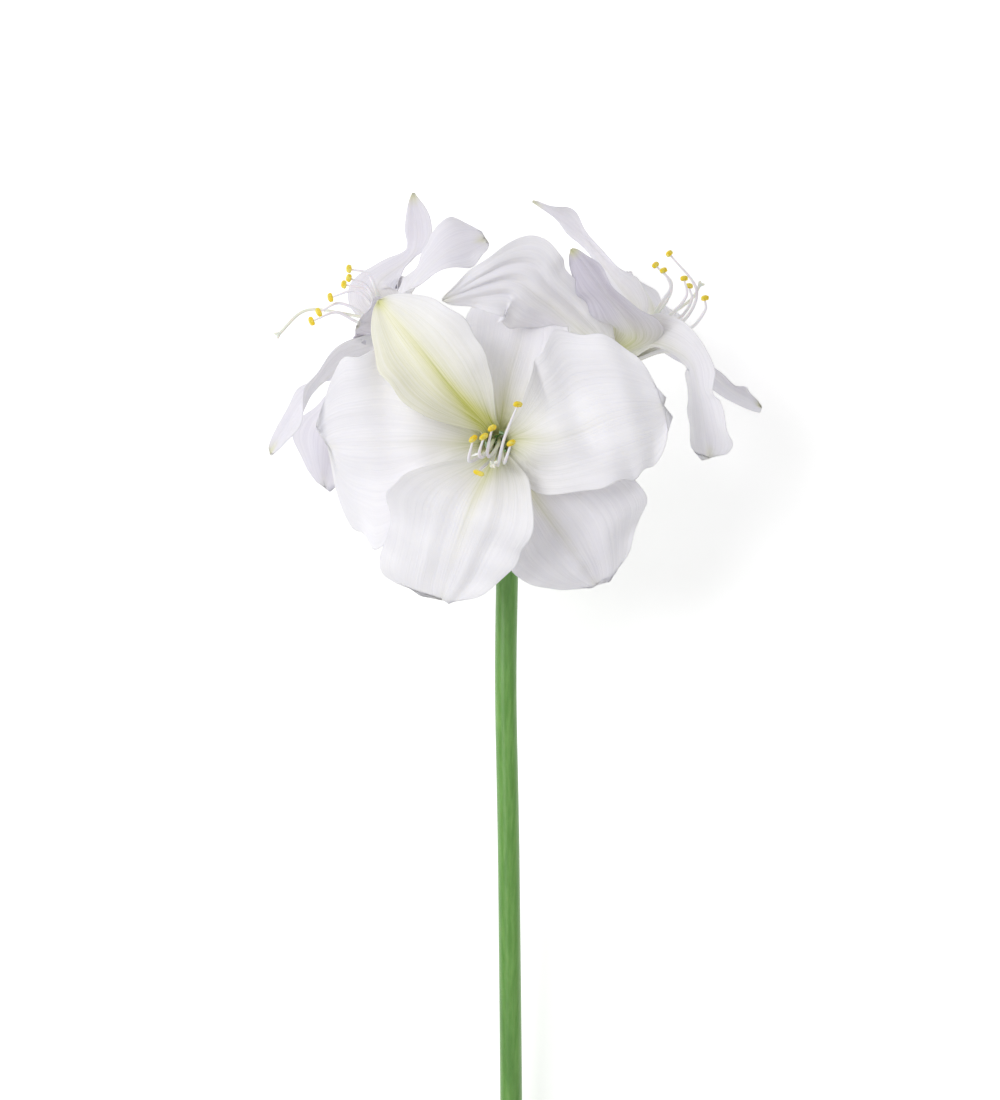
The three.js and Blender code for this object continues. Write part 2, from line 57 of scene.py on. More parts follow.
FRONT = {
    "foot": (-1.5, 53, 20),
    "axis": (0, 0, 1),
    "zero": (1, 0, 0),
    "pedicel": [(4, 38, 0), (3, 45, 0.5), (0, 51, 2), (-1.5, 53, 7.5)],
    "petals": [
        {
            "inner": True, "turn": 130,
            "line": [(-8, 62, 50), (-24, 78, 68), (-41, 99, 70), (-59, 121, 62)],
            "left": [4, 5, 6, 5, 9, 14, 19, 22, 24, 26, 26, 24, 22],
            "right": [4, 5, 6, 7, 12, 19, 23, 26, 28, 30, 31, 32, 33],
            "cup": [60, 56, 29, 20, 20], "twist": [-2, -3, 0], "tip": (0.55, 1.7),
            "ruffle": (1.9, 2.6, 0.1),
            "colour": {"cream": 0.6, "lean": 0.8, "glow": 0.95, "rib": 0.9, "tip": 0.7},
        },
        {
            "inner": False, "turn": 85,
            "line": [(1, 66, 46), (4, 85, 51), (10, 110, 40), (6, 133, 20)],
            "left": [6, 5, 6, 8, 14, 19, 22, 25, 27, 29, 31, 32, 35],
            "right": [6, 5, 6, 10, 16, 21, 24, 25, 25, 25, 27, 27, 27],
            "cup": [55, 36, 14, 5, 6], "twist": [-2, 1, 3], "tip": (0.63, 1.82),
            "ruffle": (2.4, 2.4, 0.4),
            "colour": {"glow": 0.75, "rib": 0.15, "tip": 0.1},
        },
        {
            "inner": True, "turn": 13,
            "line": [(9, 54, 49), (26, 54, 65), (55, 65, 68), (79, 70, 61)],
            "left": [4, 4, 6, 9, 16, 28, 37, 42, 48, 43, 35, 30, 19],
            "right": [4, 6, 8, 11, 16, 25, 30, 31, 33, 32, 31, 31, 30],
            "cup": [60, 56, 25, 7, 10], "twist": [-9, 9, 3], "tip": (0.76, 2.3),
            "ruffle": (3, 2.9, 0.15),
            "lobes": [(-0.4, 4, 0.3), (0.5, 5, 0.3)],
            "folds": [(0.45, 2, 0.18, 0.35, 0.95), (-0.35, -1.5, 0.2, 0.4, 1)],
            "creases": [(0.62, -3.2, 0.055, 0.1, 0.6), (0.82, 2, 0.06, -0.2, 0.6)],
            "colour": {"glow": 0.7, "rib": 0.12, "tip": 0.1},
        },
        {
            "inner": False, "turn": 307,
            "line": [(6, 43, 46), (18, 24, 58), (34, 2, 56), (47, -17, 46)],
            "left": [6, 5, 6, 9, 17, 27, 35, 42, 46, 45, 40, 39, 43],
            "right": [6, 6, 6, 6, 9, 13, 19, 25, 29, 28, 26, 22, 16],
            "cup": [55, 36, 13, 4, 4], "twist": [14, 0, -3], "tip": (0.7, 2),
            "ruffle": (3.2, 3.1, 0.55),
            "creases": [(0.72, -2, 0.08, -0.3, 0.5), (0.86, 1.8, 0.05, 0.3, 0.5)],
            "lobes": [(-0.5, 4, 0.3), (0.45, 3, 0.25)],
            "folds": [(-0.4, 2, 0.14, 0.4, 1), (0.3, -1.6, 0.14, 0.4, 1)],
            "colour": {"glow": 0.75, "rib": 0.3, "shade": 0.18, "tip": 0.1},
        },
        {
            "inner": True, "turn": 251,
            "line": [(-4, 43, 49), (-12, 24, 74), (-21, 0, 72), (-28, -24, 62)],
            "left": [4, 5, 6, 10, 17, 25, 31, 33, 30, 28, 25, 19, 11],
            "right": [4, 5, 6, 7, 14, 25, 35, 40, 38, 36, 34, 36, 42],
            "cup": [60, 56, 25, 3, 0], "twist": [-10, -11, -1], "tip": (0.8, 3),
            "ruffle": (3, 2.8, 0.3),
            "creases": [(0.8, 1.6, 0.07, 0.4, 0.4), (0.66, -1.4, 0.07, -0.4, 0.4)],
            "lobes": [(-0.5, 3, 0.3), (0.4, 3, 0.25)],
            "folds": [(-0.3, 1.6, 0.12, 0.35, 1), (0.35, 1.6, 0.12, 0.35, 1)],
            "colour": {"glow": 0.75, "rib": 0.3, "tip": 0.1},
        },
        {
            "inner": False, "turn": 182,
            "line": [(-13, 52, 44), (-34, 52, 60), (-59, 51, 60), (-84, 51, 51)],
            "left": [6, 6, 6, 5, 9, 15, 24, 34, 45, 49, 48, 48, 45],
            "right": [6, 5, 6, 11, 16, 23, 31, 38, 44, 46, 45, 44, 42],
            "cup": [55, 36, 14, 6, 2], "twist": [-2, 1, 14], "tip": (0.76, 2.52),
            "ruffle": (2.8, 2.8, 0.7),
            "folds": [(0.4, 1.8, 0.15, 0.4, 1), (-0.35, -1.5, 0.15, 0.4, 1)],
            "creases": [(0.7, -2, 0.08, 0.2, 0.5), (0.55, 1.5, 0.07, -0.4, 0.4)],
            "lobes": [(0.5, 7, 0.4), (-0.1, -3, 0.3), (-0.7, -2, 0.25)],
            "colour": {"glow": 0.7, "rib": 0.12, "tip": 0.1},
        },
    ],
    "filaments": [
        [(-5, 49, 52), (-11, 44, 72), (-15, 43, 84), (-13, 52, 92)],
        [(-4, 52, 52), (-8, 45, 76), (-10, 46, 87), (-8, 53, 93)],
        [(-1, 51, 50), (-5, 45, 74), (-6, 48, 86), (-4, 57, 92)],
        [(1, 47, 50), (2, 42, 74), (3, 44, 86), (5, 50, 91)],
        [(-3, 46, 52), (-7, 41, 70), (-9, 39, 82), (-10, 37, 92)],
        [(-1, 46, 48), (-1, 41, 72), (2, 53, 92), (8, 68, 98)],
    ],
    "feet": [180, 125, 65, 0, 235, 300],
    "style": [(-2, 48.5, 50), (-4, 41.5, 76), (-4, 40, 88), (-3, 41, 97)],
}

LEFT = {
    "foot": (-37, 100, -6),
    "axis": (-0.86, 0.5, -0.12),
    "zero": (0.5, 0.86, 0),
    "pedicel": [(4, 40, 0), (1, 62, -3), (-9, 82, -5), (-25, 93, -4.3)],
    "petals": [
        {
            "inner": False, "turn": 25,
            "line": [(-53, 122, -22), (-62, 134, -23), (-43, 152, -25), (-44, 180, -18)],
            "left": [6, 7, 8, 13, 15, 17, 17, 15, 11, 11, 12, 12, 10],
            "right": [6, 7, 8, 13, 16, 18, 18, 14, 9, 9, 16, 20, 17],
            "cup": [55, 36, 3, 13, 14], "twist": [6, -46, -42], "tip": (0.47, 1.62),
            "ruffle": (1.6, 2.6, 0.2),
            "colour": {"glow": 0.2, "rib": 0.12, "tip": 0.5, "shade": 0.5},
        },
        {
            "inner": True, "turn": 330,
            "line": [(-46, 118, 5), (-44, 130, 12), (-28, 146, 16), (-7, 155, 6)],
            "left": [4, 5, 7, 10, 14, 15, 17, 17, 17, 17, 18, 20, 19],
            "right": [4, 4, 5, 7, 9, 13, 16, 17, 17, 17, 16, 13, 11],
            "cup": [60, 56, 21, 16, 15], "twist": [-13, -17, -41], "tip": (0.72, 2.4),
            "ruffle": (2, 2.6, 0.6),
            "lobes": [(0, -3, 0.2), (-0.6, 2, 0.3), (0.6, 2, 0.3)],
            "colour": {"glow": 0.2, "rib": 0.12, "tip": 0.3, "shade": 0.4},
        },
        {
            "inner": False, "turn": 270,
            "line": [(-50, 107, 12), (-58, 111, 29), (-65, 112, 44), (-70, 109, 55)],
            "left": [6, 7, 9, 11, 13, 13, 12],
            "right": [6, 7, 9, 11, 13, 13, 12],
            "cup": [55, 36, 14, 10, 0], "twist": [0, 0, 0], "tip": (0.55, 1.7),
            "ruffle": (1.4, 2.2, 0.3),
            "colour": {"shade": 0.8, "glow": 0.15, "rib": 0.1},
        },
        {
            "inner": True, "turn": 210,
            "line": [(-55, 95, 13), (-78, 90, 28), (-94, 76, 28), (-114, 48, 20)],
            "left": [3, 4, 8, 16, 19, 20, 23, 23, 22, 20, 19, 17, 15],
            "right": [3, 4, 10, 18, 22, 23, 24, 24, 24, 20, 16, 14, 16],
            "cup": [60, 56, 22, 10, 16], "twist": [-17, 6, 45], "tip": (0.57, 2.31),
            "ruffle": (2.2, 2.8, 0.8),
            "lobes": [(0.5, 2, 0.3), (-0.6, 3, 0.3)],
            "colour": {"shade": 0.4, "tip": 0.5, "glow": 0.1, "rib": 0.1},
        },
        {
            "inner": False, "turn": 150,
            "line": [(-57, 96, -21), (-71, 83, -24), (-83, 62, -23), (-89, 32, -21)],
            "left": [6, 6, 7, 9, 11, 13, 14, 16, 20, 25, 29, 31, 31],
            "right": [6, 6, 7, 9, 9, 10, 12, 15, 19, 27, 31, 26, 16],
            "cup": [55, 36, 5, 8, 4], "twist": [-11, 49, 64], "tip": (0.5, 2.45),
            "ruffle": (2.6, 3.2, 0.45),
            "lobes": [(-0.5, 4, 0.3), (0.4, -3, 0.2)],
            "colour": {"glow": 0.2, "rib": 0.12, "tip": 0.1, "shade": 0.55},
        },
        {
            "inner": True, "turn": 90,
            "line": [(-58, 105, -26), (-62, 107, -46), (-60, 107, -64), (-50, 105, -71)],
            "left": [4, 9, 13, 20, 20, 17, 12],
            "right": [4, 9, 13, 20, 20, 17, 12],
            "cup": [60, 56, 28, 8, 0], "twist": [0, 0, 0], "tip": (0.55, 1.7),
            "ruffle": (2.2, 2.6, 0.1),
            "colour": {"glow": 0.2, "rib": 0.12, "tip": 0.5},
        },
    ],
    "filaments": [
        [(-57, 117, -4), (-62, 130, 0), (-66, 138, 2), (-74, 140, 4)],
        [(-58, 114, 0), (-63, 125, 3), (-67, 132, 5), (-74, 135, 7)],
        [(-58, 111, 1), (-64, 122, 8), (-72, 129, 10), (-83, 126, 10)],
        [(-58, 109, -3), (-69, 118, 4), (-80, 123, 7), (-89, 119, 8)],
        [(-57, 110, -8), (-71, 114, -5), (-82, 119, -3), (-93, 115, -2)],
        [(-57, 116, -10), (-62, 125, -11), (-68, 131, -10), (-77, 133, -8)],
    ],
    "feet": [320, 275, 230, 185, 135, 35],
    "style": [(-58, 113, -5), (-80, 119, -8), (-98, 120, -7), (-111, 108, -4)],
}

RIGHT = {
    "foot": (60, 98, -5),
    "axis": (0.72, 0.69, -0.02),
    "zero": (-0.69, 0.72, 0),
    "pedicel": [(4, 40, 0), (13, 57, -3), (31, 72, -5), (50, 88.4, -4.8)],
    "petals": [
        {
            "inner": False, "turn": 335,
            "line": [(70, 118, -18), (63, 132, -26), (41, 160, -30), (17, 177, -25)],
            "left": [6, 7, 8, 10, 12, 15, 16, 12, 6, 7, 12, 18, 20],
            "right": [6, 7, 8, 11, 15, 21, 23, 18, 17, 19, 18, 16, 13],
            "cup": [55, 36, 6, 28, 16], "twist": [-16, -25, -2], "tip": (0.41, 2.03),
            "ruffle": (2, 2.8, 0.5),
            "colour": {"glow": 0.2, "rib": 0.12, "tip": 0.5, "shade": 0.45},
        },
        {
            "inner": True, "turn": 30,
            "line": [(44, 105, 30), (21, 121, 58), (4, 130, 66), (-28, 121, 68)],
            "left": [3, 5, 9, 14, 15, 17, 19, 22, 26, 22, 16, 13, 12],
            "right": [3, 5, 10, 15, 18, 20, 22, 22, 22, 21, 20, 17, 14],
            "cup": [60, 56, 21, 8, -15], "twist": [-9, -78, -90], "tip": (0.58, 1.79),
            "ruffle": (2.4, 3, 0.25),
            "folds": [(-0.4, 3, 0.13, 0.25, 0.95), (0, 2.6, 0.12, 0.3, 0.95),
                      (0.4, 2.6, 0.14, 0.3, 0.95)],
            "colour": {"glow": 0.25, "rib": 0.1, "shade": 0.12},
        },
        {
            "inner": False, "turn": 75,
            "line": [(67, 105, 26), (62, 114, 48), (49, 128, 61), (35, 146, 62)],
            "left": [5, 6, 8, 12, 14, 14, 13, 10, 7, 7, 8, 9, 11],
            "right": [6, 14, 20, 22, 22, 22, 22, 20, 19, 20, 21, 20, 19],
            "cup": [55, 36, 2, 15, 20], "twist": [-11, -43, -30], "tip": (0.4, 1.95),
            "ruffle": (1.8, 2.6, 0.65),
            "colour": {"shade": 0.9, "tip": 0.6, "glow": 0.6, "rib": 0.1},
        },
        {
            "inner": True, "turn": 145,
            "line": [(76, 103, 18), (93, 94, 33), (99, 75, 30), (104, 46, 23)],
            "left": [4, 5, 6, 9, 13, 16, 18, 20, 20, 19, 22, 24, 24],
            "right": [4, 6, 10, 14, 17, 18, 18, 16, 17, 19, 22, 22, 20],
            "cup": [60, 56, 19, 14, 6], "twist": [10, 24, 64], "tip": (0.7, 3),
            "ruffle": (2.4, 2.7, 0.35),
            "lobes": [(0.2, -3, 0.2), (-0.5, 4, 0.3)],
            "colour": {"glow": 0.25, "rib": 0.1, "tip": 0.2, "shade": 0.3},
        },
        {
            "inner": False, "turn": 205,
            "line": [(83, 100, -18), (98, 97, -28), (119, 81, -30), (132, 73, -20)],
            "left": [6, 7, 8, 11, 15, 18, 19, 19, 19, 22, 22, 18, 13],
            "right": [6, 7, 8, 12, 12, 10, 8, 7, 8, 6, 8, 11, 13],
            "cup": [55, 36, 7, 8, 14], "twist": [4, 22, 26], "tip": (0.6, 1.85),
            "ruffle": (1.6, 2.2, 0.15),
            "colour": {"glow": 0.2, "rib": 0.12, "tip": 0.4, "shade": 0.5},
        },
        {
            "inner": True, "turn": 265,
            "line": [(76, 110, -26), (78, 122, -46), (74, 134, -60), (66, 144, -68.4)],
            "left": [4, 9, 14, 19, 20, 18, 13],
            "right": [4, 9, 14, 19, 20, 18, 13],
            "cup": [60, 56, 28, 8, 0], "twist": [0, 0, 0], "tip": (0.55, 1.7),
            "ruffle": (2.2, 2.6, 0.8),
            "colour": {"tip": 0.3, "shade": 0.2},
        },
    ],
    "filaments": [
        [(72, 111, 2), (81, 124, 7), (85, 131, 7), (82, 138, 7)],
        [(73, 113, -7), (83, 124, -7), (86, 134, -8), (79, 142, -8)],
        [(74, 109, 5), (87, 119, 6), (93, 127, 6), (92, 134, 6)],
        [(77, 107, -2), (90, 116, -2), (96, 125, -4), (95, 131, -5)],
        [(76, 109, -9), (92, 115, -11), (99, 131, -14), (86, 148, -12)],
        [(77, 106, 3), (94, 110, 5), (102, 119, 8), (102, 124, 9)],
    ],
    "feet": [45, 340, 95, 205, 270, 150],
    "style": [(75, 110, -3), (88, 120, -14), (97, 127, -19), (101, 134, -20)],
}

BLOOMS = {"front": FRONT, "left": LEFT, "right": RIGHT}

# Radii at even steps along each stalk and thread.
SCAPE_GIRTH = [5.75, 5.6, 5.55, 5.5, 5.5, 5.6, 5.7, 4.6]
PEDICEL_GIRTH = [4.2, 3.8, 3.6, 3.7, 5.2, 6.1, 6.0, 4.9]     # swells into the ovary
FILAMENT_GIRTH = [0.95, 0.9, 0.85, 0.75, 0.5]
STYLE_GIRTH = [0.95, 0.85, 0.8, 0.8, 0.85]
STIGMA_GIRTH = [0.75, 0.9, 0.45]

INNER_TUBE_RADIUS = 4.4          # ring on which the three inner petals stand
OUTER_TUBE_RADIUS = 6.8
FILAMENT_RING = 2.5              # ring on which the filaments stand
THREAD_START = 2                 # how far up the tube the filaments and the style start
OVARY_BOTTOM = 14.2              # below the start of the tube
OVARY_LENGTH = 13
ANTHER_HALF = 2.8
ANTHER_RADIUS = 1.3
ANTHER_LEAN = math.radians(30)
ANTHER_GAP = 0.2

LEAST_HALF = 3                   # half width below which no petal narrows before its end closes
END_HALF = 0.5                   # half width left at the very tip
BLADE_THICKNESS = 0.42           # half of the thickness beside the midrib
RIB_THICKNESS = 0.16             # what the midrib adds
VEIN_HEIGHT = 0.05
VEIN_WAVES = 15
GROOVE_DEPTH = 0.6
FOLD_FADE = 0.15                 # share of the petal over which a fold starts and ends
ROWS = 74
COLUMNS = 54

# ---- The lying pose -------------------------------------------------------------------------
# The flower is described upright in millimetres (x right, y up the scape, z out of the front
# bloom's face). A pitch and a roll lay it on its petals, and SHIFT centres its footprint.

LIE_PITCH = math.radians(7.06)
LIE_ROLL = math.radians(0.75)
SHIFT = np.array([-8.947, 118.712, 57.475])
LIE = np.array(Matrix.Rotation(LIE_PITCH, 3, "X") @ Matrix.Rotation(LIE_ROLL, 3, "Y"))

# ---- Studio sizes, in upright millimetres, lamp sizes in metres and powers in watts -------------

CAMERA_DISTANCE = 2000
VIEW_HEIGHT = 550                # height of the plane through the head that fills the frame
LAMPS = {
    "key": {"place": (-1500, 650, 2100), "size": 1.5, "power": 35.0},
    "fill": {"place": (900, -300, 1700), "size": 1.8, "power": 3.0},
}
LAMP_TARGET = (0, 40, 20)
SKY_STRENGTH = 0.46
FLOOR_GLOW = 0.4
FLOOR_REACH = 8                  # half of the floor's side, in metres

# ---- Tones, as screen values ----------------------------------------------------------------

TONES = {
    "petal": (246, 244, 250), "petal_vein": (222, 220, 231), "petal_cloud": (226, 223, 236),
    # painted shade: a lavender grey, with darker veins, for petals that lie in shadow
    "painted_shade": (206, 202, 216), "painted_shade_vein": (176, 170, 190),
    "butter": (249, 247, 212), "butter_vein": (228, 226, 150),
    "throat": (220, 220, 122), "throat_vein": (176, 184, 70), "petal_tip": (206, 208, 116),
    "stalk": (92, 148, 56), "stalk_streak": (118, 170, 80),
    "stalk_patch": (76, 126, 50), "stalk_pore": (168, 200, 130),
    "cut": (196, 212, 150), "cut_cell": (226, 234, 196),
    "filament_foot": (224, 230, 200), "filament_end": (246, 243, 250),
    "style_foot": (236, 238, 226), "style_end": (243, 244, 230), "thread_grain": (214, 214, 206),
    "pollen": (255, 222, 52), "pollen_pale": (255, 240, 128), "pollen_deep": (250, 198, 32),
    "floor": (250, 250, 250),
}


def tone(name):
    """The colour that a shader wants for a screen value."""
    values = [c / 255 for c in TONES[name]]
    return [((c + 0.055) / 1.055) ** 2.4 if c > 0.04 else c / 12.92 for c in values] + [1]


# ---- Small helpers --------------------------------------------------------------------------

def lay(points):
    """Upright millimetres to metres on the surface."""
    return (np.asarray(points, float) @ LIE.T + SHIFT) / 1000


def unit(a):
    return a / np.maximum(np.linalg.norm(a, axis=-1, keepdims=True), 1e-9)


def bell(x, centre, spread):
    """A smooth bump of height 1."""
    return np.exp(-(((x - centre) / spread) ** 2))


def rise(x, start, length):
    """0 up to start, then a straight climb to 1."""
    return np.clip((x - start) / length, 0, 1)


def fall(x, end, length):
    """1, then a straight drop to 0 at end."""
    return np.clip((end - x) / length, 0, 1)


def wave(turns):
    return np.sin(2 * np.pi * turns)


def along(values, s):
    """Smooth value through even steps, s from 0 to 1."""
    values = np.asarray(values, float)
    last = len(values) - 1
    place = np.clip(s, 0, 1) * last
    i = np.minimum(np.floor(place).astype(int), last - 1)
    f = place - i
    more = np.concatenate([[2 * values[0] - values[1]], values, [2 * values[-1] - values[-2]]])
    a, b, c, d = more[i], more[i + 1], more[i + 2], more[i + 3]
    if values.ndim > 1:
        f = f[:, None]
    bend = (2 * a - 5 * b + 4 * c - d) * f**2 + (3 * b - a - 3 * c + d) * f**3
    return 0.5 * (2 * b + (c - a) * f + bend)


def place_object(name, data):
    made = bpy.data.objects.new(name, data)
    bpy.context.collection.objects.link(made)
    return made


def shade_smooth(mesh):
    mesh.polygons.foreach_set("use_smooth", [True] * len(mesh.polygons))


def finished_mesh(piece):
    """The plain mesh that a piece's modifiers give."""
    piece.update_tag()
    bpy.context.view_layer.update()
    seen = piece.evaluated_get(bpy.context.evaluated_depsgraph_get())
    return bpy.data.meshes.new_from_object(seen)


def bloom_foot(bloom):
    return np.array(bloom["foot"], float)


def directions(bloom):
    """The way a bloom faces, the way turn 0 points, and a quarter turn on."""
    axis = unit(np.array(bloom["axis"], float))
    zero = np.array(bloom["zero"], float)
    zero = unit(zero - axis * (zero @ axis))
    return axis, zero, np.cross(axis, zero)


def radial(bloom, turn):
    _, zero, quarter = directions(bloom)
    return math.cos(math.radians(turn)) * zero + math.sin(math.radians(turn)) * quarter


# ---- Petals ---------------------------------------------------------------------------------
# Below, s runs from base to tip and w from -1 to 1 across.

def petal_rails(bloom, petal, s):
    """Midrib points, and the ways along, across and out of the petal there."""
    out = radial(bloom, petal["turn"])
    ring = INNER_TUBE_RADIUS if petal["inner"] else OUTER_TUBE_RADIUS
    line = np.vstack([bloom_foot(bloom) + out * ring, petal["line"]])
    ahead, behind = along(line, np.minimum(s + 0.001, 1)), along(line, np.maximum(s - 0.001, 0))
    tangent = unit(ahead - behind)
    side = np.cross(out, directions(bloom)[0])
    side = unit(side - tangent * (tangent @ side)[:, None])
    face = np.cross(side, tangent)
    twist = np.radians(along(petal["twist"], s))[:, None]
    turned_side = np.cos(twist) * side + np.sin(twist) * face
    turned_face = np.cos(twist) * face - np.sin(twist) * side
    return along(line, s), tangent, turned_side, turned_face


def petal_halves(petal, s, w):
    """The half width on w's side, which closes in a round end."""
    start, roundness = petal["tip"]
    x = np.maximum(0, (s - start) / (1 - start))
    close = np.maximum(1 - x**roundness, 0) ** (1 / roundness)
    left, right = (
        np.maximum(np.maximum(along(petal[margin], s), LEAST_HALF) * close, END_HALF)[:, None]
        for margin in ("left", "right")
    )
    return np.where(w < 0, left, right)


def petal_relief(petal, s, w, half):
    """How far the blade stands off its curve, and how far nicks stretch its margins."""
    size, waves, phase = petal["ruffle"]
    reach, flip = abs(w), np.sign(w)
    free = rise(s, 0.3, 0.3) * fall(s, 1.03, 0.14)
    ruffle = np.sin(2 * np.pi * (waves * s + phase + 0.35 * flip) + 1.2 * np.sin(5 * s + phase))
    ruffle = ruffle + 0.5 * wave(1.9 * waves * s + 2.3 * phase - 0.6 * flip)
    pleat = np.cos(np.pi * (2.6 * w + 0.5 * np.sin(4 * s + 6 * phase)) + 7 * phase)
    height = size * free * (ruffle * reach**2.2 + 0.3 * pleat * (1 - 0.5 * reach))
    for across, depth, breadth, begin, end in petal.get("folds", []):
        fade = rise(s, begin, FOLD_FADE) * fall(s, end, FOLD_FADE)
        height = height + depth * fade * bell(w, across, breadth)
    for place, depth, breadth, across, length in petal.get("creases", []):
        height = height + depth * bell(s, place, breadth) * bell(w, across, length)
    height = height - GROOVE_DEPTH * rise(s, 0.2, 0.2) * bell(w * half, 0, 2.2)
    nick = 2 * np.pi * (1.6 * waves * s + 3.1 * phase + 0.2 * flip) + 2 * np.sin(7 * s + 9 * phase)
    return height, 1 + (0.012 + 0.009 * size) * free * np.sin(nick) * reach**3


def petal_sheet(bloom, petal, s, w):
    """The middle surface as a grid of points, and its half widths."""
    middle, tangent, side, face = (rail[:, None] for rail in petal_rails(bloom, petal, s))
    cup = np.radians(along(petal["cup"], s))
    cup = np.where(abs(cup) < 0.001, 0.001, cup)[:, None]
    half = petal_halves(petal, s, w[None, :])
    s, w = s[:, None], w[None, :]
    height, stretch = petal_relief(petal, s, w, half)
    across = half * np.sin(cup * abs(w)) / cup * np.sign(w) * stretch
    lift = half * (1 - np.cos(cup * abs(w))) / cup + height
    points = middle + side * across[..., None] + face * lift[..., None]
    for place, length, breadth in petal.get("lobes", []):
        lobe = length * rise(s, 0.6, 0.4) ** 2 * bell(w, place, breadth) * rise(half, 0, 8)
        points = points + tangent * lobe[..., None]
    return points, half


def petal_tints(tint, s, w, half):
    """How much of each tint, and how much painted shade, shows at every point of the petal."""
    glow = tint.get("glow", 0.45) * np.exp(-((s / 0.36) ** 2.2)) * (1 - 0.35 * abs(w))
    rib = tint.get("rib", 0.35) * bell(w * half, 0, 1.6 + 4.5 * (1 - s)) * np.exp(-((s / 0.72) ** 3))
    end = tint.get("tip", 0.25) * rise(s, 0.93, 0.06) ** 1.5 * bell(w * half, 0, 4)
    cream = tint.get("cream", 0) * (0.55 + 0.45 * bell(w, 0, 0.5)) * rise(s, 0.05, 0.2)
    return {
        "glow": glow + rib,
        "end": end,
        "cream": cream * (1 - tint.get("lean", 0) * w),
        # shade is painted shade, laid evenly over the whole petal
        "shade": np.full_like(half, tint.get("shade", 0)),
    }


def sheet_faces(rows, columns):
    """Faces of a front and a back grid of points, joined round their rims."""
    back = rows * columns
    last = columns - 1
    top = (rows - 1) * columns
    faces = []
    for i in range(rows - 1):
        for j in range(columns - 1):
            a = i * columns + j
            b, c, d = a + 1, a + columns + 1, a + columns
            faces.append((a, b, c, d))
            faces.append((back + a, back + d, back + c, back + b))
    for i in range(rows - 1):
        a, b = i * columns, (i + 1) * columns
        faces.append((a, b, back + b, back + a))
        faces.append((b + last, a + last, back + a + last, back + b + last))
    for j in range(columns - 1):
        faces.append((j + 1, j, back + j, back + j + 1))
        faces.append((top + j, top + j + 1, back + top + j + 1, back + top + j))
    return faces


def petal_piece(name, bloom, petal, material):
    """A closed petal, thick at the midrib and thin at the margin, tinted at its points."""
    s = np.linspace(0, 1, ROWS)
    margin = np.pi / 2 * 0.72
    w = np.sin(np.linspace(-1, 1, COLUMNS) * margin) / math.sin(margin)
    points, half = petal_sheet(bloom, petal, s, w)
    down, over = s[:, None], w[None, :]
    normal = unit(np.cross(np.gradient(points, axis=1), np.gradient(points, axis=0)))
    thick = BLADE_THICKNESS * (1 - 0.62 * over**2) + RIB_THICKNESS * bell(over * half, 0, 2.5)
    thick = thick * (1 + 0.5 * fall(down, 0.3, 0.3))
    # Fine lengthwise veins, raised on both faces.
    vein = np.cos(np.pi * over * VEIN_WAVES) * VEIN_HEIGHT * rise(down, 0.15, 0.2)
    front = points + normal * (thick + vein)[..., None]
    back = points - normal * (thick - vein)[..., None]
    verts = lay(np.vstack([front.reshape(-1, 3), back.reshape(-1, 3)]))
    mesh = bpy.data.meshes.new(name)
    mesh.from_pydata(verts.tolist(), [], sheet_faces(ROWS, COLUMNS))
    mesh.update()

    place = np.stack([np.tile((w + 1) / 2, ROWS), np.repeat(s, COLUMNS)], 1)
    corners = np.empty(len(mesh.loops), int)
    mesh.loops.foreach_get("vertex_index", corners)
    layer = mesh.uv_layers.new(name="petal")
    layer.data.foreach_set("uv", np.tile(place, (2, 1))[corners].ravel())
    for key, value in petal_tints(petal["colour"], down, over, half).items():
        attribute = mesh.attributes.new(key, "FLOAT", "POINT")
        both = np.clip(np.tile(value.ravel(), 2), 0, 1)
        attribute.data.foreach_set("value", both.astype(np.float32))
    shade_smooth(mesh)
    mesh.materials.append(material)
    return place_object(name, mesh)


# ---- Node trees -----------------------------------------------------------------------------

class Wiring:
    """Short calls to add nodes to a tree and wire them up."""

    def put(self, target, value):
        if isinstance(value, bpy.types.NodeSocket):
            self.tree.links.new(value, target)
        else:
            target.default_value = value

    def node(self, kind, inputs=None, **settings):
        made = self.tree.nodes.new(kind)
        for key, value in settings.items():
            setattr(made, key, value)
        for key, value in (inputs or {}).items():
            self.put(made.inputs[key], value)
        return made


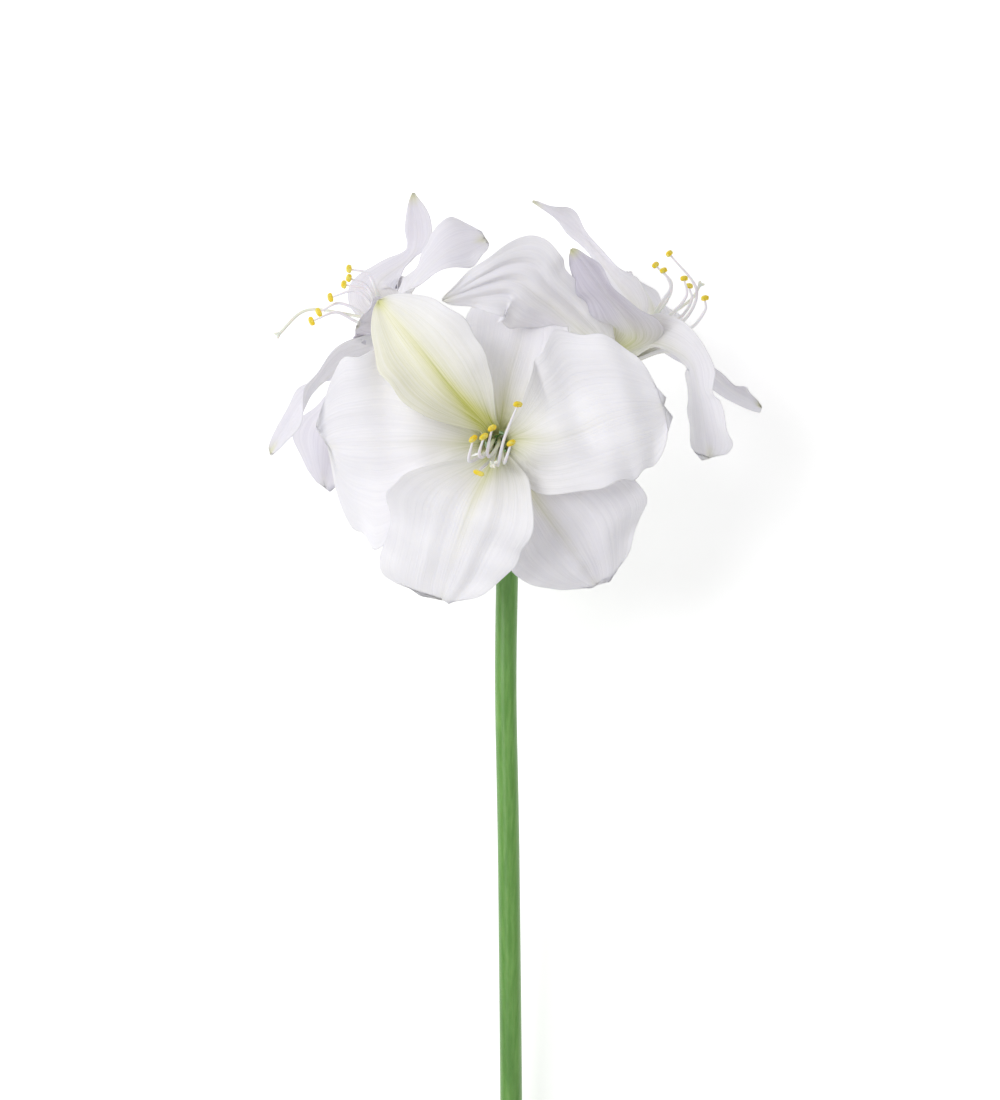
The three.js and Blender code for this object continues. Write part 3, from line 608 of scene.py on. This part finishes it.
class Finish(Wiring):
    """One material's node tree."""

    def __init__(self, name):
        self.material = bpy.data.materials.new(name)
        self.material.use_nodes = True
        self.tree = self.material.node_tree
        self.shader = self.tree.nodes["Principled BSDF"]

    def spot(self):
        return self.node("ShaderNodeTexCoord").outputs["Object"]

    def attribute(self, name):
        return self.node("ShaderNodeAttribute", attribute_name=name).outputs["Fac"]

    def math(self, operation, a, b):
        return self.node("ShaderNodeMath", {0: a, 1: b}, operation=operation).outputs[0]

    def add(self, a, b):
        return self.math("ADD", a, b)

    def times(self, a, b):
        return self.math("MULTIPLY", a, b)

    def mix(self, factor, a, b):
        return self.node("ShaderNodeMix", {0: factor, 6: a, 7: b}, data_type="RGBA").outputs[2]

    def noise(self, vector, scale, detail=3.0, rough=0.5):
        inputs = {"Vector": vector, "Scale": scale, "Detail": detail, "Roughness": rough}
        return self.node("ShaderNodeTexNoise", inputs).outputs["Fac"]

    def streaks(self, vector, scale, detail, rough=0.5):
        """Noise stretched by a scale for each way."""
        drawn = self.node("ShaderNodeMapping", {"Vector": vector, "Scale": scale}).outputs[0]
        return self.noise(drawn, 1.0, detail, rough)

    def ramp(self, value, low, high):
        inputs = {0: value, 1: low, 2: high, 3: 0.0, 4: 1.0}
        return self.node("ShaderNodeMapRange", inputs, interpolation_type="SMOOTHSTEP").outputs[0]

    def close(self, colour, rough, **constants):
        self.put(self.shader.inputs["Base Color"], colour)
        self.put(self.shader.inputs["Roughness"], rough)
        for key, value in constants.items():
            self.shader.inputs[key.replace("_", " ")].default_value = value
        return self.material

    def bump(self, height, strength, distance):
        inputs = {"Strength": strength, "Distance": distance, "Height": height}
        made = self.node("ShaderNodeBump", inputs)
        self.put(self.shader.inputs["Normal"], made.outputs[0])


def petal_material():
    n = Finish("petal")
    place = n.node("ShaderNodeUVMap", uv_map="petal").outputs[0]
    spot = n.spot()
    # Fine veins run between a few broad ones.
    fine = n.ramp(n.streaks(place, (74, 2.2, 1), 2.0), 0.46, 0.62)
    broad = n.ramp(n.streaks(place, (24, 1.1, 1), 2.0), 0.45, 0.65)
    veins = n.add(n.times(fine, 0.6), n.times(broad, 0.5))
    cloud = n.noise(spot, 55.0, 4.0)
    sparkle = n.noise(spot, 5200.0, 1.0)
    colour = n.mix(n.times(veins, 0.19), tone("petal"), tone("petal_vein"))
    colour = n.mix(n.times(n.ramp(cloud, 0.42, 0.7), 0.10), colour, tone("petal_cloud"))
    # Painted shade: a lavender grey with darker veins, mixed in where a petal lies in shadow.
    painted_shade = n.mix(n.times(veins, 0.5), tone("painted_shade"), tone("painted_shade_vein"))
    colour = n.mix(n.attribute("shade"), colour, painted_shade)
    butter = n.mix(n.times(veins, 0.6), tone("butter"), tone("butter_vein"))
    colour = n.mix(n.attribute("cream"), colour, butter)
    green = n.mix(n.times(veins, 0.7), tone("throat"), tone("throat_vein"))
    glow = n.times(n.attribute("glow"), n.add(0.75, n.times(veins, 0.4)))
    colour = n.mix(glow, colour, green)
    colour = n.mix(n.attribute("end"), colour, tone("petal_tip"))
    n.bump(n.add(veins, n.times(sparkle, 0.25)), 0.35, 0.0003)
    return n.close(
        colour, n.add(0.44, n.times(cloud, 0.14)),
        Subsurface_Weight=0.35, Subsurface_Scale=0.0025, Subsurface_Radius=(1.0, 0.95, 0.8),
        Sheen_Weight=0.06, Specular_IOR_Level=0.32,
    )


def stalk_material():
    n = Finish("green_stalk")
    spot = n.spot()
    streaks = n.streaks(spot, (520, 5, 520), 4.0, 0.6)
    patches = n.streaks(spot, (60, 9, 60), 3.0)
    pores = n.noise(spot, 3800.0, 2.0)
    colour = n.mix(n.ramp(streaks, 0.3, 0.75), tone("stalk"), tone("stalk_streak"))
    colour = n.mix(n.times(n.ramp(patches, 0.45, 0.75), 0.5), colour, tone("stalk_patch"))
    colour = n.mix(n.times(n.ramp(pores, 0.6, 0.75), 0.25), colour, tone("stalk_pore"))
    n.bump(n.add(streaks, n.times(pores, 0.3)), 0.3, 0.0003)
    return n.close(
        colour, n.add(0.30, n.times(patches, 0.12)),
        Subsurface_Weight=0.08, Subsurface_Scale=0.002, Coat_Weight=0.3, Coat_Roughness=0.35,
    )


def cut_material():
    n = Finish("cut_stalk_end")
    inputs = {"Vector": n.spot(), "Scale": 1600.0}
    cells = n.node("ShaderNodeTexVoronoi", inputs).outputs["Distance"]
    n.bump(cells, 0.5, 0.0003)
    return n.close(n.mix(n.ramp(cells, 0.1, 0.7), tone("cut"), tone("cut_cell")), 0.5)


def thread_material(name):
    """Filaments and styles: a smooth thread that changes colour from foot to end."""
    n = Finish(name)
    grain = n.noise(n.spot(), 900.0, 3.0)
    colour = n.mix(n.ramp(n.attribute("way"), 0.1, 0.7), tone(name + "_foot"), tone(name + "_end"))
    colour = n.mix(n.times(grain, 0.16), colour, tone("thread_grain"))
    n.bump(grain, 0.15, 0.0002)
    return n.close(colour, 0.42, Subsurface_Weight=0.08, Subsurface_Scale=0.001)


def pollen_material():
    n = Finish("pollen")
    spot = n.spot()
    clumps = n.noise(spot, 420.0, 3.0)
    grains = n.noise(spot, 2600.0, 3.0)
    colour = n.mix(n.ramp(clumps, 0.4, 0.65), tone("pollen"), tone("pollen_pale"))
    colour = n.mix(n.times(n.ramp(grains, 0.5, 0.7), 0.5), colour, tone("pollen_deep"))
    n.bump(grains, 0.6, 0.0003)
    return n.close(colour, 0.75, Subsurface_Weight=0.15, Subsurface_Scale=0.001)


class Tree(Wiring):
    """One geometry node tree with named inputs."""

    def __init__(self, name, **inputs):
        self.tree = bpy.data.node_groups.new(name, "GeometryNodeTree")
        face = self.tree.interface
        face.new_socket("Geometry", in_out="INPUT", socket_type="NodeSocketGeometry")
        self.identifier = {}
        for key, kind in inputs.items():
            socket = face.new_socket(key, in_out="INPUT", socket_type="NodeSocket" + kind)
            self.identifier[key] = socket.identifier
        face.new_socket("Geometry", in_out="OUTPUT", socket_type="NodeSocketGeometry")
        self.given = self.tree.nodes.new("NodeGroupInput").outputs
        self.end = self.tree.nodes.new("NodeGroupOutput")

    def close(self, geometry):
        whole = self.node("GeometryNodeRealizeInstances", {"Geometry": geometry})
        fields = {"Geometry": whole.outputs[0], "Material": self.given["Material"]}
        dressed = self.node("GeometryNodeSetMaterial", fields)
        self.tree.links.new(dressed.outputs[0], self.end.inputs[0])


def stalk_tree():
    """Turns a line whose points carry a girth into a closed round stalk."""
    t = Tree("round_stalk", Sides="Int", Spacing="Float", Material="Material")
    curve = t.node("GeometryNodeMeshToCurve", {"Mesh": t.given["Geometry"]})
    fields = {"Curve": curve.outputs[0], "Length": t.given["Spacing"]}
    fine = t.node("GeometryNodeResampleCurve", fields, mode="LENGTH")
    sized = t.node("GeometryNodeSetCurveRadius", {"Curve": fine.outputs[0], "Radius": 1.0})
    ring = t.node("GeometryNodeCurvePrimitiveCircle", {"Resolution": t.given["Sides"], "Radius": 1.0})
    girth = t.node("GeometryNodeInputNamedAttribute", {"Name": "girth"}, data_type="FLOAT")
    fields = {"Curve": sized.outputs[0], "Profile Curve": ring.outputs[0], "Fill Caps": True}
    skin = t.node("GeometryNodeCurveToMesh", fields | {"Scale": girth.outputs[0]})
    smooth = t.node("GeometryNodeSetShadeSmooth", {"Geometry": skin.outputs[0]})
    t.close(smooth.outputs[0])
    return t


def pollen_tree():
    """Scatters small grains over an anther and joins them to it."""
    t = Tree("pollen_grains", Density="Float", Grain="Float", Seed="Int", Material="Material")
    fields = {"Mesh": t.given["Geometry"], "Density": t.given["Density"], "Seed": t.given["Seed"]}
    dust = t.node("GeometryNodeDistributePointsOnFaces", fields)
    ball = t.node("GeometryNodeMeshIcoSphere", {"Radius": t.given["Grain"], "Subdivisions": 1})
    fields = {"Seed": t.given["Seed"], 2: 0.6, 3: 1.3}
    size = t.node("FunctionNodeRandomValue", fields, data_type="FLOAT")
    fields = {"Points": dust.outputs[0], "Instance": ball.outputs[0], "Scale": size.outputs[1]}
    grains = t.node("GeometryNodeInstanceOnPoints", fields)
    both = t.node("GeometryNodeJoinGeometry")
    t.tree.links.new(grains.outputs[0], both.inputs[0])
    t.tree.links.new(t.given["Geometry"], both.inputs[0])
    t.close(both.outputs[0])
    return t


def grown(name, source, tree, **values):
    """The plain mesh that a tree makes from a source object."""
    modifier = source.modifiers.new("grow", "NODES")
    modifier.node_group = tree.tree
    for key, value in values.items():
        modifier[tree.identifier[key]] = value
    mesh = finished_mesh(source)
    mesh.name = name
    piece = place_object(name, mesh)
    bpy.data.objects.remove(source)
    return piece


# ---- The scape, its flower stalks and ovaries -----------------------------------------------

def strand(points, count, girths):
    s = np.linspace(0, 1, count)
    return along(points, s), along(girths, s)


def line_object(name, strands):
    """Strands of (points in upright millimetres, girths in millimetres) as one object of edges."""
    verts, edges, girth, way = [], [], [], []
    for points, girths in strands:
        start = len(verts)
        verts += lay(points).tolist()
        edges += [(start + i, start + i + 1) for i in range(len(points) - 1)]
        girth += [g / 1000 for g in girths]
        way += np.linspace(0, 1, len(points)).tolist()
    mesh = bpy.data.meshes.new(name)
    mesh.from_pydata(verts, edges, [])
    for key, values in (("girth", girth), ("way", way)):
        mesh.attributes.new(key, "FLOAT", "POINT").data.foreach_set("value", values)
    return place_object(name, mesh)


def scape(stalks, green, cut):
    """The stem and the three flower stalks with their ovaries, joined in one skin."""
    strands = [strand(SCAPE_LINE, 130, SCAPE_GIRTH)]
    for bloom in BLOOMS.values():
        below = OVARY_BOTTOM - OVARY_LENGTH * np.linspace(0, 1, 5)
        ovary = bloom_foot(bloom) - below[:, None] * directions(bloom)[0]
        strands.append(strand(np.vstack([bloom["pedicel"][:3], ovary]), 40, PEDICEL_GIRTH))
    source = line_object("scape_line", strands)
    piece = grown("scape_visual", source, stalks, Sides=40, Spacing=0.0016, Material=green)
    join = piece.modifiers.new("join", "REMESH")
    join.mode = "VOXEL"
    join.voxel_size = 0.0008
    join.use_smooth_shade = True
    ease = piece.modifiers.new("ease", "SMOOTH")
    ease.factor = 0.5
    ease.iterations = 4
    mesh = finished_mesh(piece)
    piece.modifiers.clear()
    piece.data = mesh
    mesh.materials.clear()
    mesh.materials.append(green)
    mesh.materials.append(cut)
    shade_smooth(mesh)
    low = min(v.co.y for v in mesh.vertices)
    for polygon in mesh.polygons:
        if polygon.normal.y < -0.8 and polygon.center.y < low + 0.0015:
            polygon.material_index = 1
    return piece


# ---- Anthers and styles ---------------------------------------------------------------------

def grooved_body(rows, sides=14):
    """An outline of (height, radius) turned round, with the grooves of an anther."""
    points, faces = [], []
    for height, radius in rows:
        for k in range(sides):
            angle = 2 * math.pi * k / sides
            groove = 1 - 0.16 * math.cos(2 * angle) - 0.10 * math.cos(4 * angle)
            points.append((radius * groove * math.cos(angle), height, radius * math.sin(angle)))
    for i in range(len(rows) - 1):
        for k in range(sides):
            a, b = i * sides + k, i * sides + (k + 1) % sides
            faces.append((a, a + sides, b + sides, b))
    faces.append(tuple(range(sides)))
    faces.append(tuple(reversed(range((len(rows) - 1) * sides, len(rows) * sides))))
    return np.array(points), faces


def outward(mesh):
    work = bmesh.new()
    work.from_mesh(mesh)
    bmesh.ops.recalc_face_normals(work, faces=work.faces)
    work.to_mesh(mesh)
    work.free()


def anther_source(name, points):
    """A grooved anther balanced across the end of its filament, curved a little."""
    tip = np.array(points[-1], float)
    growth = unit(tip - np.array(points[-2], float))
    level = unit(np.cross(growth, (0.35, 0.2, 0.9)))
    across = math.cos(ANTHER_LEAN) * level + math.sin(ANTHER_LEAN) * np.cross(growth, level)
    third = np.cross(across, growth)
    outline = [
        (ANTHER_HALF * v, max(ANTHER_RADIUS * (1 - abs(v) ** 3.2) ** 0.5, 0.12))
        for v in np.linspace(-1, 1, 13)
    ]
    body, faces = grooved_body(outline)
    rise_up = body[:, 2:] - 0.10 * body[:, 1:2] ** 2 / ANTHER_HALF
    centre = tip + growth * (ANTHER_RADIUS + ANTHER_GAP)
    verts = centre + body[:, :1] * third + body[:, 1:2] * across + rise_up * growth
    mesh = bpy.data.meshes.new(name)
    mesh.from_pydata(lay(verts).tolist(), [], faces)
    outward(mesh)
    shade_smooth(mesh)
    return place_object(name, mesh)


def thread_foot(bloom):
    return bloom_foot(bloom) + directions(bloom)[0] * THREAD_START


def style_strands(bloom):
    """The style and the three short stigma arms at its end."""
    points = np.vstack([thread_foot(bloom), bloom["style"]])
    strands = [strand(points, 44, STYLE_GIRTH)]
    tip = points[-1]
    growth = unit(tip - points[-2])
    aside = unit(np.cross(growth, (0.2, 0.3, 0.9)))
    other = np.cross(growth, aside)
    for arm in range(3):
        turn = arm * 2.094
        out = math.cos(turn) * aside + math.sin(turn) * other
        line = [tip - growth * 0.8, tip + growth * 0.7 + out * 0.8, tip + growth * 1.3 + out * 2.0]
        strands.append(strand(line, 9, STIGMA_GIRTH))
    return strands


# ---- The whole flower -----------------------------------------------------------------------

def keep(piece, node):
    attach(piece, "root")
    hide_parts(node)


def build():
    petal_skin = petal_material()
    green = stalk_material()
    filament_skin, style_skin = thread_material("filament"), thread_material("style")
    pollen = pollen_material()
    stalks, dust = stalk_tree(), pollen_tree()

    def thread(node, strands, skin):
        source = line_object(node + "_line", strands)
        return grown(node + "_visual", source, stalks, Sides=14, Spacing=0.0012, Material=skin)

    keep(scape(stalks, green, cut_material()), "scape")
    seed = 1
    for name, bloom in BLOOMS.items():
        for k, petal in enumerate(bloom["petals"], 1):
            node = f"{name}_tepal_{k}"
            keep(petal_piece(node + "_visual", bloom, petal, petal_skin), node)
        for k, (points, turn) in enumerate(zip(bloom["filaments"], bloom["feet"]), 1):
            line = np.vstack([thread_foot(bloom) + radial(bloom, turn) * FILAMENT_RING, points])
            node = f"{name}_filament_{k}"
            keep(thread(node, [strand(line, 48, FILAMENT_GIRTH)], filament_skin), node)
            node = f"{name}_anther_{k}"
            source = anther_source(node + "_body", line)
            piece = grown(node + "_visual", source, dust,
                          Density=9.0e6, Grain=0.00013, Seed=seed, Material=pollen)
            keep(piece, node)
            seed += 1
        node = f"{name}_style"
        keep(thread(node, style_strands(bloom), style_skin), node)


# ---- Studio ---------------------------------------------------------------------------------

def floor():
    r = FLOOR_REACH
    mesh = bpy.data.meshes.new("floor")
    mesh.from_pydata([(-r, -r, 0), (r, -r, 0), (r, r, 0), (-r, r, 0)], [], [(0, 1, 2, 3)])
    mesh.materials.append(Finish("pale_floor").close(tone("floor"), 0.9, Emission_Strength=FLOOR_GLOW))
    place_object("floor", mesh)


def sky():
    world = bpy.data.worlds.new("studio")
    bpy.context.scene.world = world
    world.use_nodes = True
    background = world.node_tree.nodes["Background"].inputs
    background["Color"].default_value = (1, 1, 1, 1)
    background["Strength"].default_value = SKY_STRENGTH


def lamps():
    for name, lamp in LAMPS.items():
        light = bpy.data.lights.new(name, "AREA")
        light.size = lamp["size"]
        light.energy = lamp["power"]
        spot = Vector(lay(lamp["place"]))
        aim = (Vector(lay(LAMP_TARGET)) - spot).to_track_quat("-Z", "Y").to_matrix().to_4x4()
        place_object(name, light).matrix_world = Matrix.Translation(spot) @ aim


def camera():
    lens = bpy.data.cameras.new("camera")
    lens.sensor_fit = "VERTICAL"
    lens.sensor_height = 36
    lens.lens = lens.sensor_height * CAMERA_DISTANCE / VIEW_HEIGHT
    lens.clip_end = 50
    body = place_object("camera", lens)
    spot = Vector(lay((0, 0, CAMERA_DISTANCE)))
    body.matrix_world = Matrix.Translation(spot) @ Matrix(LIE.tolist()).to_4x4()
    scene = bpy.context.scene
    scene.camera = body
    scene.view_settings.view_transform = "Standard"
    scene.view_settings.look = "None"
    scene.view_settings.exposure = 0.0


floor()
sky()
lamps()
camera()
build()
bpy.context.view_layer.update()
